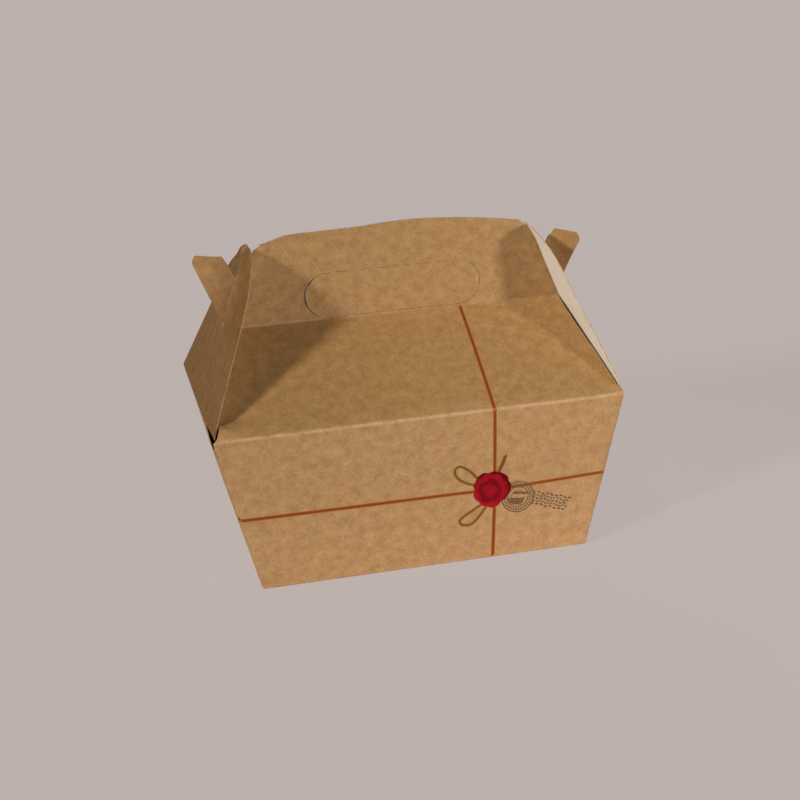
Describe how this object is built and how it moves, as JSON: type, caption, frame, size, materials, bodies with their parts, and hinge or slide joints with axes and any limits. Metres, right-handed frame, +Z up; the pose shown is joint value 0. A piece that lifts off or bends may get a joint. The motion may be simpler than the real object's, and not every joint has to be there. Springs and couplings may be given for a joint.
{
  "type": "paper food carry carton",
  "caption": "Folded kraft board carry carton for food: tapered tray, gabled roof, upright handle panels with a closed hand hole and ears, and two slotted end flaps that swing open.",
  "frame": {"origin": "middle of the flat base, on the surface that the carton stands on", "axes": "+X along the handle to the right, +Y from the front wall to the back wall, +Z up"},
  "size_m": [0.2404, 0.1324, 0.1914],
  "materials": {
    "kraft_board": "matte uncoated kraft outside, pale cream inside",
    "flap_board": "matte uncoated kraft outside, pale cream inside"
  },
  "bodies": {
    "carton": {"carton": "kraft_board"},
    "left_flap": {"left_end_flap": "flap_board"},
    "right_flap": {"right_end_flap": "flap_board"}
  },
  "joints": [
    {"name": "left_flap_crease", "type": "hinge", "parent": "carton", "child": "left_flap", "pos_m": [-0.12, 0, 0.094], "axis": [0, -1, 0], "range_deg": [0, 120]},
    {"name": "right_flap_crease", "type": "hinge", "parent": "carton", "child": "right_flap", "pos_m": [0.12, 0, 0.094], "axis": [0, 1, 0], "range_deg": [0, 120]}
  ]
}
